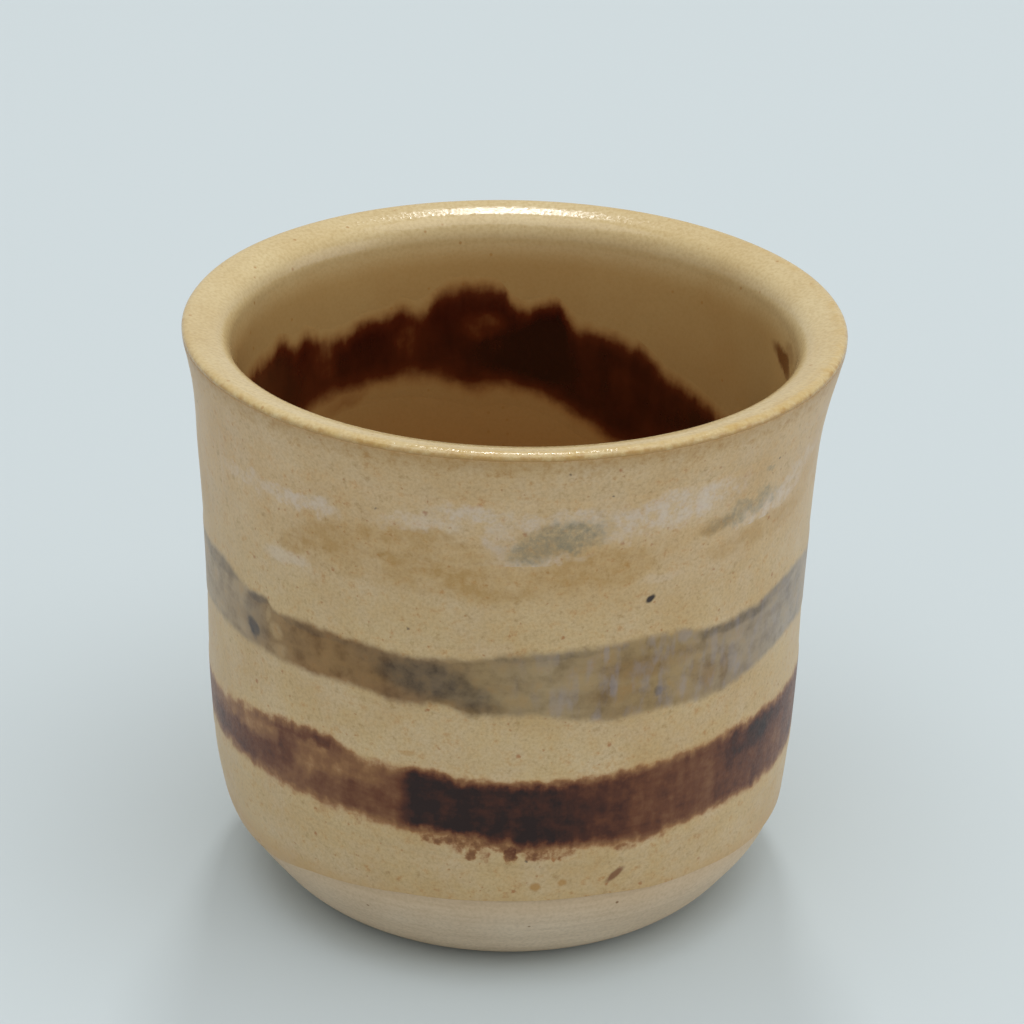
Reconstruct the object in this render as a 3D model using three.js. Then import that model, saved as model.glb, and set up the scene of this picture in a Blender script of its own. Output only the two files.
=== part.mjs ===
// Handmade stoneware espresso cup without a handle: a thrown clay body with a flared lip, a liner glaze,
// an outer glaze that stops above the bare foot, and slip and oxide bands brushed on by hand.
// Millimetres, +Z up. The cup stands on Z = 0 with its axis on Z, and its front faces -Y.

import * as THREE from 'three';

// The cup over its glaze
const CUP_HEIGHT = 59.5;
const RIM_DIAMETER = 65;
const SHOULDER_DIAMETER = 61.2; // where the lip begins to flare
const FLARE_HEIGHT = 12.6; // from the lip's widest line down to the shoulder
const BELLY_DIAMETER = 60.1;
const BELLY_HEIGHT = 26;
const HEEL_DIAMETER = 58.4; // where the turned heel runs into the wall
const HEEL_HEIGHT = 12;
const WALL_THICKNESS = 4.2; // clay with its glaze on both sides
const LIP_EDGE_WIDTH = 1.2; // from the lip's crest out to its widest line
const LIP_EDGE_DROP = 0.9;
const LIP_INNER_DROP = 1.8; // from the lip's crest down to the inner wall

// The turned foot and the floor, in bare clay
const FOOT_DIAMETER = 44;
const FOOT_EDGE = 0.8; // softened edge of the foot
const HEEL_SWELL = 6.2; // height that the heel's curve is drawn towards
const FOOT_RING_WIDTH = 4.5;
const FOOT_RECESS = 1.2;
const FOOT_RECESS_SLOPE = 0.8;
const FLOOR_HEIGHT = 5.5; // top of the glazed floor
const FLOOR_CORNER = 8; // rounding between the floor and the inner wall

// Coats
const GLAZE_THICKNESS = 0.3;
const BAND_THICKNESS = 0.15;
const GLAZE_LINE_HEIGHT = 9.2; // where the outer glaze stops above the foot
const GLAZE_LINE_RISE = 1.2; // how much higher it stops in front, and lower behind
const GLAZE_LINE_HIGH_SIDE = THREE.MathUtils.degToRad(10);

// Brushed bands round the outside, from the foot up
const IRON_BAND_HEIGHT = 17.6;
const IRON_BAND_WIDTH = 7.2;
const GREY_BAND_HEIGHT = 31.4;
const GREY_BAND_WIDTH = 6.7;

// Brush strokes under the lip: drop from the crest to the lower edge, width, and the angles of the ends
const OCHRE_STROKE_DROP = 14.5;
const OCHRE_STROKE_WIDTH = 3.4;
const OCHRE_STROKE_START = THREE.MathUtils.degToRad(-45);
const OCHRE_STROKE_END = THREE.MathUtils.degToRad(67);
const PALE_STROKE_GAP = 0.8; // clear glaze between the two strokes
const PALE_STROKE_WIDTH = 3;
const PALE_STROKE_START = THREE.MathUtils.degToRad(-58);
const PALE_STROKE_END = THREE.MathUtils.degToRad(72);

// Band brushed round the inside, at its mean height, higher on one side
const INNER_BAND_DROP = 24; // crest of the lip down to the band's lower edge
const INNER_BAND_WIDTH = 7.5;
const INNER_BAND_RISE = 7;
const INNER_BAND_HIGH_SIDE = THREE.MathUtils.degToRad(215);

// How finely the round forms are cut
const SEGMENTS = 48;
const OUTER_ROW = 4;
const INNER_ROW = 7.5;
const ARC_ROWS = 3;

// Heights that follow from the sizes above
const lipEdgeHeight = CUP_HEIGHT - LIP_EDGE_DROP;
const shoulderHeight = lipEdgeHeight - FLARE_HEIGHT;
const ironLow = IRON_BAND_HEIGHT;
const ironHigh = ironLow + IRON_BAND_WIDTH;
const greyLow = GREY_BAND_HEIGHT;
const greyHigh = greyLow + GREY_BAND_WIDTH;
const ochreLow = CUP_HEIGHT - OCHRE_STROKE_DROP;
const ochreHigh = ochreLow + OCHRE_STROKE_WIDTH;
const paleLow = ochreHigh + PALE_STROKE_GAP;
const paleHigh = paleLow + PALE_STROKE_WIDTH;
const innerWallTop = CUP_HEIGHT - LIP_INNER_DROP;
const innerWallFoot = FLOOR_HEIGHT + FLOOR_CORNER;
const innerBandLow = CUP_HEIGHT - INNER_BAND_DROP;
const innerBandHigh = innerBandLow + INNER_BAND_WIDTH;

// Walls: each gives a radius at a height. The clay wall is a smooth curve through the heel, the belly, the
// shoulder and the rim, and the heel below it is one curve from the foot, drawn towards its swell.
const clayRadius = (diameter) => diameter / 2 - GLAZE_THICKNESS;
const thrownWall = new THREE.CubicInterpolant(
  [HEEL_HEIGHT, BELLY_HEIGHT, shoulderHeight, lipEdgeHeight],
  [HEEL_DIAMETER, BELLY_DIAMETER, SHOULDER_DIAMETER, RIM_DIAMETER].map(clayRadius),
  1
);

function turnedHeel(z) {
  const bend = HEEL_HEIGHT - 2 * HEEL_SWELL;
  const along = z / (HEEL_SWELL + Math.sqrt(HEEL_SWELL ** 2 + bend * z));
  const heelRadius = clayRadius(HEEL_DIAMETER);
  return heelRadius - (heelRadius - FOOT_DIAMETER / 2) * (1 - along) ** 2;
}

const clayWall = (z) => (z < HEEL_HEIGHT ? turnedHeel(z) : thrownWall.evaluate(z)[0]);
const glazeWall = (z) => clayWall(z) + GLAZE_THICKNESS;
const bandWall = (z) => glazeWall(z) + BAND_THICKNESS;
const linerWall = (z) => glazeWall(z) - WALL_THICKNESS;
const clayInnerWall = (z) => linerWall(z) + GLAZE_THICKNESS;
const innerBandWall = (z) => linerWall(z) - BAND_THICKNESS;

// A profile point gives its radius and height at each angle round the axis. A point on a tilted edge is
// lifted on the edge's high side and lowered on the other.
const fixed = (radius, height) => () => [radius, height];
const on = (wall, height, lift = 0, highSide = 0) => (angle) => {
  const z = height + lift * Math.cos(angle - highSide);
  return [wall(z), z];
};

// Heights from edge to edge, with rows between where two edges are more than a step apart
function ladder(edges, step) {
  const heights = [edges[0]];
  for (let i = 1; i < edges.length; i++) {
    const rise = edges[i] - edges[i - 1];
    const rows = Math.max(1, Math.round(Math.abs(rise) / step));
    for (let row = 1; row < rows; row++) {
      heights.push(edges[i - 1] + (rise * row) / rows);
    }
    heights.push(edges[i]);
  }
  return heights;
}

// Turns a closed profile round the axis, as a whole ring or as an arc with flat ends. The profile runs up
// its outer side and down its inner side. Two solids that share a stretch of profile share its triangles.
function turned(profile, start = 0, end = 2 * Math.PI) {
  const whole = end - start >= 2 * Math.PI;
  const pitch = (2 * Math.PI) / SEGMENTS;
  const angles = whole ? [] : [start];
  const firstColumn = whole ? 0 : Math.floor(start / pitch) + 1;
  const lastColumn = whole ? SEGMENTS - 1 : Math.ceil(end / pitch) - 1;
  for (let column = firstColumn; column <= lastColumn; column++) {
    angles.push(column * pitch);
  }
  if (!whole) {
    angles.push(end);
  }

  const rings = angles.map((angle) => profile.map((point) => point(angle)));
  const positions = [];
  rings.forEach((ring, column) => {
    for (const [radius, z] of ring) {
      positions.push(radius * Math.sin(angles[column]), -radius * Math.cos(angles[column]), z);
    }
  });

  const size = profile.length;
  const indices = [];
  const spans = whole ? angles.length : angles.length - 1;
  for (let column = 0; column < spans; column++) {
    const here = column * size;
    const there = ((column + 1) % angles.length) * size;
    for (let a = 0; a < size; a++) {
      const b = (a + 1) % size;
      const [radiusA, zA] = rings[column][a];
      const [radiusB, zB] = rings[column][b];
      const rising = zA < zB || (zA === zB && radiusA < radiusB);
      if (radiusA > 0) {
        indices.push(here + a, there + a, rising ? there + b : here + b);
      }
      if (radiusB > 0) {
        indices.push(there + b, here + b, rising ? here + a : there + a);
      }
    }
  }
  if (!whole) {
    const last = (angles.length - 1) * size;
    const outline = rings[0].map(([radius, z]) => new THREE.Vector2(radius, z));
    for (const [a, b, c] of THREE.ShapeUtils.triangulateShape(outline, [])) {
      indices.push(a, b, c, last + a, last + c, last + b);
    }
  }

  const geometry = new THREE.BufferGeometry();
  geometry.setAttribute('position', new THREE.Float32BufferAttribute(positions, 3));
  geometry.setIndex(indices);
  geometry.computeVertexNormals();
  return geometry;
}

// Outside, from the dip line up to the lip's widest line. The dip line is tilted, and the rows above it
// come level by the iron band.
const bandEdges = [ironLow, ironHigh, greyLow, greyHigh];
const strokeEdges = [ochreLow, ochreHigh, paleLow, paleHigh];
const outerEdges = [GLAZE_LINE_HEIGHT, ...bandEdges, ...strokeEdges, lipEdgeHeight];
const outerHeights = ladder(outerEdges, OUTER_ROW);

function outerSkin(wall, low = GLAZE_LINE_HEIGHT, high = lipEdgeHeight) {
  return outerHeights
    .filter((z) => z >= low && z <= high)
    .map((z) => {
      const settle = Math.max(0, (ironLow - z) / (ironLow - GLAZE_LINE_HEIGHT));
      return on(wall, z, GLAZE_LINE_RISE * settle, GLAZE_LINE_HIGH_SIDE);
    });
}

// Lip, from its widest line over the crest to the inner wall, at a depth below the glazed surface
function lip(depth) {
  const crestRadius = RIM_DIAMETER / 2 - LIP_EDGE_WIDTH;
  const innerWidth = crestRadius - linerWall(innerWallTop);
  const points = [];
  for (let row = 1; row <= ARC_ROWS; row++) {
    const turn = (row / ARC_ROWS) * (Math.PI / 2);
    const radius = crestRadius + (LIP_EDGE_WIDTH - depth) * Math.cos(turn);
    points.push(fixed(radius, lipEdgeHeight + (LIP_EDGE_DROP - depth) * Math.sin(turn)));
  }
  for (let row = ARC_ROWS - 1; row >= 1; row--) {
    const turn = (row / ARC_ROWS) * (Math.PI / 2);
    const radius = crestRadius - (innerWidth - depth) * Math.cos(turn);
    points.push(fixed(radius, innerWallTop + (LIP_INNER_DROP - depth) * Math.sin(turn)));
  }
  return points;
}

// Inside, from the lip down the wall, round the corner and over the floor to the axis. The rows near the
// brushed band tilt with it on the glazed surface, and come level by the lip and by the corner.
const innerHeights = ladder([innerWallTop, innerBandHigh, innerBandLow, innerWallFoot], INNER_ROW);

function innerLift(z) {
  if (z > innerBandHigh) return (INNER_BAND_RISE * (innerWallTop - z)) / (innerWallTop - innerBandHigh);
  if (z < innerBandLow) return (INNER_BAND_RISE * (z - innerWallFoot)) / (innerBandLow - innerWallFoot);
  return INNER_BAND_RISE;
}

const linerRow = (wall, z) => on(wall, z, innerLift(z), INNER_BAND_HIGH_SIDE);

function floorAndCorner(depth) {
  const cornerRadius = linerWall(innerWallFoot) - FLOOR_CORNER;
  const points = [];
  for (let row = 1; row <= ARC_ROWS; row++) {
    const turn = (row / ARC_ROWS) * (Math.PI / 2);
    const radius = cornerRadius + (FLOOR_CORNER + depth) * Math.cos(turn);
    points.push(fixed(radius, innerWallFoot - (FLOOR_CORNER + depth) * Math.sin(turn)));
  }
  points.push(fixed(0, FLOOR_HEIGHT - depth));
  return points;
}

const clayInside = [
  ...lip(GLAZE_THICKNESS),
  ...innerHeights.map((z) => on(clayInnerWall, z)),
  ...floorAndCorner(GLAZE_THICKNESS),
];
const linerFace = [...lip(0), ...innerHeights.map((z) => linerRow(linerWall, z)), ...floorAndCorner(0)];

// Bare clay from the hollow under the foot, over the foot ring and up the heel to the dip line
const recessRadius = FOOT_DIAMETER / 2 - FOOT_EDGE - FOOT_RING_WIDTH;
const heelHeights = ladder([FOOT_EDGE, GLAZE_LINE_HEIGHT], OUTER_ROW / 2).slice(0, -1);
const bareFoot = [
  fixed(0, FOOT_RECESS),
  fixed(recessRadius - FOOT_RECESS_SLOPE, FOOT_RECESS),
  fixed(recessRadius, 0),
  fixed(FOOT_DIAMETER / 2 - FOOT_EDGE, 0),
  ...heelHeights.map((z) => {
    const rise = (z - FOOT_EDGE) / (GLAZE_LINE_HEIGHT - FOOT_EDGE);
    return on(clayWall, z, GLAZE_LINE_RISE * rise, GLAZE_LINE_HIGH_SIDE);
  }),
];

const clayLipEdge = on(clayWall, lipEdgeHeight);
const glazeLipEdge = on(glazeWall, lipEdgeHeight);

const stonewareBody = turned([...bareFoot, ...outerSkin(clayWall), ...clayInside]);
const linerGlaze = turned([...clayInside.toReversed(), clayLipEdge, glazeLipEdge, ...linerFace]);
const outerGlaze = turned([...outerSkin(glazeWall), ...outerSkin(clayWall).toReversed()]);

// A brushed band or stroke on the outer glaze
function brushed(low, high, start, end) {
  const back = outerSkin(glazeWall, low, high).toReversed();
  return turned([...outerSkin(bandWall, low, high), ...back], start, end);
}

const ironBand = brushed(ironLow, ironHigh);
const greyBand = brushed(greyLow, greyHigh);
const ochreStroke = brushed(ochreLow, ochreHigh, OCHRE_STROKE_START, OCHRE_STROKE_END);
const paleStroke = brushed(paleLow, paleHigh, PALE_STROKE_START, PALE_STROKE_END);

const innerBandHeights = innerHeights.filter((z) => z >= innerBandLow && z <= innerBandHigh);
const innerBand = turned([
  ...innerBandHeights.toReversed().map((z) => linerRow(linerWall, z)),
  ...innerBandHeights.map((z) => linerRow(innerBandWall, z)),
]);

// The assembled cup
const cup = new THREE.Group();

function addPiece(name, geometry, color, roughness) {
  const material = new THREE.MeshStandardMaterial({ color, roughness, metalness: 0 });
  const piece = new THREE.Mesh(geometry, material);
  piece.name = name;
  cup.add(piece);
}

addPiece('stoneware_body', stonewareBody, '#c9baa2', 0.9);
addPiece('liner_glaze', linerGlaze, '#cdb583', 0.25);
addPiece('outer_glaze', outerGlaze, '#c7b084', 0.5);
addPiece('iron_band', ironBand, '#4a231a', 0.45);
addPiece('grey_band', greyBand, '#867b63', 0.5);
addPiece('ochre_stroke', ochreStroke, '#b3935f', 0.5);
addPiece('pale_slip_stroke', paleStroke, '#c5bcb0', 0.5);
addPiece('inner_iron_band', innerBand, '#43180e', 0.3);

export default cup;
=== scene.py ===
import math

import bpy
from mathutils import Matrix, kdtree


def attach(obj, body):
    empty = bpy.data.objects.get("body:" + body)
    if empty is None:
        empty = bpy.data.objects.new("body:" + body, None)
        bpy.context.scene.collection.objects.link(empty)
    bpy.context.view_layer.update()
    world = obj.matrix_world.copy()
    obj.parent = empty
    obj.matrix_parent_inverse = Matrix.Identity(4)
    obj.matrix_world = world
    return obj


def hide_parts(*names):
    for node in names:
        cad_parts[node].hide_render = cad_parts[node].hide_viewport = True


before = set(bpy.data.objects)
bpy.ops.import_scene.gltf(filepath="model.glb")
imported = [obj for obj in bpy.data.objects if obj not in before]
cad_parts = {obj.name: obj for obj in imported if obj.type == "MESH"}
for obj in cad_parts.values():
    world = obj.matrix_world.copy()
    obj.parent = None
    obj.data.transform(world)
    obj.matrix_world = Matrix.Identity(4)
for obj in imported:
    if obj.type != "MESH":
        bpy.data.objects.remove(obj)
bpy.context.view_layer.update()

bpy.context.scene.view_settings.view_transform = "Standard"


# STONEWARE BODY
# The cup itself: one lump of pale buff clay thrown on the wheel, the lip opened outwards by hand, the heel
# and the foot turned when leather hard. Bare clay shows on the heel and the underside, and the glazes cover
# the rest.

mm = 0.001
facets_round = 192
wall_wander = 0.35
off_centre = 0.446
smooth_below = math.radians(40)

# Half of the section: radius and height in millimetres, and AUTO where the outline runs on smoothly or VECTOR
# where it has a corner. It starts in the middle of the underside and ends in the middle of the inner floor.
clay_section = [
    (0.0, 1.0, "VECTOR"),
    (12.0, 1.1, "AUTO"),
    (15.9, 1.2, "VECTOR"),
    (16.6, 0.1, "VECTOR"),
    (17.2, 0.0, "VECTOR"),
    (20.7, 0.0, "VECTOR"),
    (21.8, 0.25, "AUTO"),
    (23.3, 1.1, "AUTO"),
    (25.85, 4.0, "AUTO"),
    (28.15, 7.7, "AUTO"),
    (28.95, 11.2, "AUTO"),
    (29.56, 19.0, "AUTO"),
    (29.85, 32.0, "AUTO"),
    (30.40, 46.0, "AUTO"),
    (31.05, 53.0, "AUTO"),
    (31.85, 57.2, "AUTO"),
    (32.18, 58.75, "AUTO"),
    (32.17, 59.0, "AUTO"),
    (31.98, 59.13, "AUTO"),
    (31.2, 59.08, "AUTO"),
    (30.2, 58.85, "AUTO"),
    (29.05, 58.35, "AUTO"),
    (28.35, 57.5, "AUTO"),
    (27.95, 56.0, "AUTO"),
    (27.35, 52.5, "AUTO"),
    (26.65, 46.0, "AUTO"),
    (26.25, 36.0, "AUTO"),
    (26.1, 25.0, "AUTO"),
    (25.75, 16.5, "AUTO"),
    (24.9, 11.2, "AUTO"),
    (22.6, 7.3, "AUTO"),
    (18.6, 5.5, "AUTO"),
    (8.0, 5.2, "AUTO"),
    (0.0, 5.2, "AUTO"),
]

bpy.ops.object.select_all(action="DESELECT")
bpy.ops.curve.primitive_bezier_curve_add()
section = bpy.context.object
section.name = "section_line"
section.data.resolution_u = 12
outline = section.data.splines[0].bezier_points
outline.add(len(clay_section) - len(outline))
for point, (radius, height, turn) in zip(outline, clay_section):
    point.co = (radius * mm, 0, height * mm)
    point.handle_left_type = turn
    point.handle_right_type = turn
bpy.ops.object.convert(target="MESH")
crest = max(range(len(section.data.vertices)), key=lambda i: section.data.vertices[i].co.z)


def spun(name, keep, first=0.0, turn=360.0):
    """Spins a stretch of the section line round the cup's axis, as the wheel does. Keep picks the stretch by
    side, "out" up to the crest of the lip and "in" after it, radius and height in millimetres; first and turn
    are where it starts, in degrees from the front, and how far it goes round."""
    bpy.ops.object.select_all(action="DESELECT")
    section.select_set(True)
    bpy.context.view_layer.objects.active = section
    bpy.ops.object.duplicate()
    piece = bpy.context.object
    piece.name = name
    piece.data.name = name
    bpy.ops.object.mode_set(mode="EDIT")
    bpy.ops.mesh.select_mode(type="VERT")
    bpy.ops.mesh.select_all(action="DESELECT")
    bpy.ops.object.mode_set(mode="OBJECT")
    for vertex in piece.data.vertices:
        side = "out" if vertex.index <= crest else "in"
        vertex.select = not keep(side, vertex.co.x / mm, vertex.co.z / mm)
    bpy.ops.object.mode_set(mode="EDIT")
    bpy.ops.mesh.delete(type="VERT")
    bpy.ops.mesh.select_all(action="SELECT")
    bpy.ops.transform.rotate(value=math.radians(90 - first), orient_axis="Z", center_override=(0, 0, 0))
    bpy.ops.mesh.spin(
        steps=round(facets_round * turn / 360), angle=-math.radians(turn), center=(0, 0, 0), axis=(0, 0, 1)
    )
    bpy.ops.mesh.select_all(action="SELECT")
    bpy.ops.mesh.remove_doubles(threshold=0.002 * mm)
    bpy.ops.mesh.normals_make_consistent(inside=False)
    bpy.ops.object.mode_set(mode="OBJECT")
    return piece


def ease(value, start, end):
    """Rises smoothly from 0 at start to 1 at end."""
    share = min(max((value - start) / (end - start), 0), 1)
    return share * share * (3 - 2 * share)


uneven = bpy.data.textures.new("uneven_wall", "CLOUDS")
uneven.cloud_type = "COLOR"
uneven.noise_scale = 22 * mm
uneven.noise_depth = 1


def shaped_by_hand(piece):
    """Makes a spun piece as uneven as the wheel and the hand left the cup: the wall wanders by a tenth of a
    millimetre between foot and lip, and both of these sit slightly to one side of it."""
    on_wall = piece.vertex_groups.new(name="on_wall")
    at_ends = piece.vertex_groups.new(name="at_ends")
    for vertex in piece.data.vertices:
        height = vertex.co.z / mm
        on_wall.add([vertex.index], ease(height, 4, 18) * (1 - 0.6 * ease(height, 50, 58)), "REPLACE")
        at_ends.add([vertex.index], ease(height, 46.5, 58) + 0.8 * ease(height, 15, 4), "REPLACE")
    wheel = piece.modifiers.new("wheel", "DISPLACE")
    wheel.texture = uneven
    wheel.texture_coords = "LOCAL"
    wheel.direction = "RGB_TO_XYZ"
    wheel.vertex_group = "on_wall"
    wheel.strength = wall_wander * mm
    bpy.ops.object.modifier_apply(modifier="wheel")
    hand = piece.modifiers.new("hand", "DISPLACE")
    hand.direction = "X"
    hand.vertex_group = "at_ends"
    hand.mid_level = 0
    hand.strength = off_centre * mm
    bpy.ops.object.modifier_apply(modifier="hand")
    piece.vertex_groups.clear()
    bpy.ops.object.shade_smooth_by_angle(angle=smooth_below)


clay = spun("thrown_clay", lambda side, radius, height: True)
shaped_by_hand(clay)


def linear(hex_colour):
    """A colour written as sRGB hex, as the linear numbers that a shader takes."""
    channels = [int(hex_colour[i:i + 2], 16) / 255 for i in (1, 3, 5)]
    return [c / 12.92 if c <= 0.04045 else ((c + 0.055) / 1.055) ** 2.4 for c in channels] + [1]


def add(tree, kind, settings=None, **links):
    """Adds a node to a material: its settings, with a ramp's stops or a curve's points, and its inputs, by
    name or as _number, each set to a value or linked. Gives the node's outputs."""
    made = tree.nodes.new("ShaderNode" + kind)
    for name, value in (settings or {}).items():
        if name == "stops":
            stops = made.color_ramp.elements
            stops[0].position, stops[-1].position = value[0][0], value[-1][0]
            for position, _ in value[1:-1]:
                stops.new(position)
            for stop, (_, colour) in zip(stops, value):
                stop.color = linear(colour)
        elif name == "points":
            curve = made.mapping.curves[0].points
            curve[0].location, curve[-1].location = value[0], value[-1]
            for x, y in value[1:-1]:
                curve.new(x, y)
            made.mapping.update()
        else:
            setattr(made, name, value)
    for name, value in links.items():
        socket = made.inputs[int(name[1:]) if name[1:].isdigit() else name.replace("_", " ")]
        if isinstance(value, bpy.types.NodeSocket):
            tree.links.new(value, socket)
        else:
            socket.default_value = value
    return made.outputs


def fired(name):
    """Starts a fired material: the material, its node tree and the shader that it ends in."""
    material = bpy.data.materials.new(name)
    material.use_nodes = True
    return material, material.node_tree, material.node_tree.nodes["Principled BSDF"]


smooth = {"interpolation_type": "SMOOTHSTEP"}


def on_the_cup(tree, side="out"):
    """Where a point of the surface is: its place in millimetres, degrees round, and height. Degrees are
    counted from the front outside and from the back inside, and grow the same way round."""
    metres = add(tree, "TexCoord")["Object"]
    place = add(tree, "VectorMath", {"operation": "SCALE"}, _0=metres, Scale=1 / mm)[0]
    faced = add(tree, "VectorMath", {"operation": "SCALE"}, _0=place, Scale=1 if side == "out" else -1)[0]
    x, y, _ = add(tree, "SeparateXYZ", Vector=faced)
    front = add(tree, "Math", {"operation": "MULTIPLY"}, _0=y, _1=-1.0)[0]
    angle = add(tree, "Math", {"operation": "ARCTAN2"}, _0=x, _1=front)[0]
    degrees = add(tree, "Math", {"operation": "DEGREES"}, _0=angle)[0]
    height = add(tree, "SeparateXYZ", Vector=place)["Z"]
    return place, degrees, height


def blended(tree, amount, below, above, how="MIX"):
    """One colour over another, as far as amount says."""
    return add(tree, "Mix", {"data_type": "RGBA", "blend_type": how}, _0=amount, _6=below, _7=above)[2]


# Fired buff stoneware, turned with a loop tool: dry and matte, fine sand in it, faint rings where the tool
# went round, small iron grains, and a warmer flash close to the glaze.
bare_clay, tree, shader = fired("fired_buff_stoneware")
place, _, height = on_the_cup(tree)
sand = add(tree, "TexNoise", Vector=place, Scale=1 / 0.35, Detail=2.0)["Fac"]
cloudy = add(tree, "TexNoise", Vector=place, Scale=1 / 9, Detail=3.0)["Fac"]
rings = add(tree, "VectorMath", {"operation": "MULTIPLY"}, _0=place, _1=(1 / 30, 1 / 30, 1 / 0.55))[0]
rings = add(tree, "TexNoise", Vector=rings, Scale=1.0, Detail=2.0)["Fac"]
tone = add(tree, "ValToRGB", {"stops": [(0.3, "#d1ba9c"), (0.7, "#dbc7ac")]}, Fac=cloudy)[0]
grainy = add(tree, "ValToRGB", {"stops": [(0.25, "#c9c4bc"), (0.6, "#ffffff")]}, Fac=sand)[0]
tone = blended(tree, 0.35, tone, grainy, "MULTIPLY")
turned = add(tree, "ValToRGB", {"stops": [(0.35, "#d9d2c6"), (0.6, "#ffffff")]}, Fac=rings)[0]
tone = blended(tree, 0.22, tone, turned, "MULTIPLY")
flash = add(tree, "MapRange", smooth, Value=height, From_Min=6.0, From_Max=10.5)[0]
flash = add(tree, "Math", {"operation": "MULTIPLY"}, _0=flash, _1=0.3)[0]
tone = blended(tree, flash, tone, linear("#d0ae80"))
grain = add(tree, "TexVoronoi", Vector=place, Scale=1 / 2.6)
grain_spot = add(tree, "MapRange", Value=grain["Distance"], From_Min=0.09, From_Max=0.05)[0]
tone = blended(tree, grain_spot, tone, linear("#8a6a4a"))
tree.links.new(tone, shader.inputs["Base Color"])
shader.inputs["Roughness"].default_value = 0.85
relief = add(tree, "Math", {"operation": "MULTIPLY_ADD"}, _0=rings, _1=1.0, _2=sand)[0]
relief = add(tree, "Bump", Height=relief, Strength=0.28, Distance=0.04 * mm)[0]
tree.links.new(relief, shader.inputs["Normal"])
clay.data.materials.append(bare_clay)

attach(clay, "root")
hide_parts("stoneware_body")


# LINER GLAZE
# The glaze poured into the cup and out again: it covers the floor, the inner wall and the lip as far as its
# outer edge, where it melts into the outer coat.

liner_edge = 58.4
wall_radius = 30.3
inner_radius = 26.4
arc = math.radians(1) * wall_radius
inner_arc = math.radians(1) * inner_radius


def skin(piece, thickness, fade, seat=0.0):
    """Makes a spun sheet a closed coat: seat lifts it off the clay, and it thins out to a tenth over the
    last fade before its open edges. Lengths are in millimetres."""
    bpy.ops.object.mode_set(mode="EDIT")
    bpy.ops.mesh.select_all(action="DESELECT")
    bpy.ops.mesh.select_non_manifold()
    bpy.ops.object.mode_set(mode="OBJECT")
    edge = [vertex.co for vertex in piece.data.vertices if vertex.select]
    nearest = kdtree.KDTree(len(edge))
    for i, place in enumerate(edge):
        nearest.insert(place, i)
    nearest.balance()
    full = piece.vertex_groups.new(name="full_coat")
    for vertex in piece.data.vertices:
        away = nearest.find(vertex.co)[2]
        full.add([vertex.index], ease(away, 0, fade * mm), "REPLACE")
    if seat:
        lift = piece.modifiers.new("lift", "DISPLACE")
        lift.mid_level = 0
        lift.strength = seat * mm
        bpy.ops.object.modifier_apply(modifier="lift")
    body = piece.modifiers.new("body", "SOLIDIFY")
    body.thickness = thickness * mm
    body.offset = 1
    body.vertex_group = "full_coat"
    body.thickness_vertex_group = 0.1
    bpy.ops.object.modifier_apply(modifier="body")
    piece.vertex_groups.clear()
    shaped_by_hand(piece)


liner = spun("poured_liner", lambda side, radius, height: side == "in" or height > liner_edge)
skin(liner, thickness=0.32, fade=0.5)


def rolled_out(tree, place, degrees, height, ragged, across=arc):
    """The wall rolled out flat, in millimetres, and pushed about by up to ragged millimetres, so that what is
    drawn on it gets the torn edge of a brush mark."""
    along = add(tree, "Math", {"operation": "MULTIPLY"}, _0=degrees, _1=across)[0]
    flat = add(tree, "CombineXYZ", X=along, Y=height)[0]
    push = add(tree, "TexNoise", Vector=place, Scale=1 / 1.6, Detail=3.0, Roughness=0.6)["Color"]
    push = add(tree, "VectorMath", {"operation": "SUBTRACT"}, _0=push, _1=(0.5, 0.5, 0.5))[0]
    push = add(tree, "VectorMath", {"operation": "SCALE"}, _0=push, Scale=2 * ragged)[0]
    return add(tree, "VectorMath", {"operation": "ADD"}, _0=flat, _1=push)[0]


def dabs(tree, chart, marks, across=arc):
    """How far soft oval brush marks cover a point of the rolled-out wall. Each mark is its degrees round from
    the front, height, half width, half height, lean in degrees, and strength."""
    cover = 0.0
    for degrees, height, wide, tall, lean, strength in marks:
        spot = add(
            tree, "Mapping", {"vector_type": "TEXTURE"}, Vector=chart, Location=(degrees * across, height, 0),
            Rotation=(0, 0, math.radians(lean)), Scale=(wide, tall, 1),
        )[0]
        off = add(tree, "VectorMath", {"operation": "LENGTH"}, _0=spot)["Value"]
        mark = add(tree, "MapRange", smooth, Value=off, From_Min=1.35, From_Max=0.6, To_Max=strength)[0]
        cover = add(tree, "Math", {"operation": "MAXIMUM"}, _0=cover, _1=mark)[0]
    return cover


def at_arris(tree, place):
    """How close a point lies to the sharp outer edge of the lip, where the wet glaze ran thin."""
    level = add(tree, "VectorMath", {"operation": "MULTIPLY"}, _0=place, _1=(1, 1, 0))[0]
    radius = add(tree, "VectorMath", {"operation": "LENGTH"}, _0=level)["Value"]
    return add(tree, "MapRange", Value=radius, From_Min=31.2, From_Max=32.2)[0]


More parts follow.
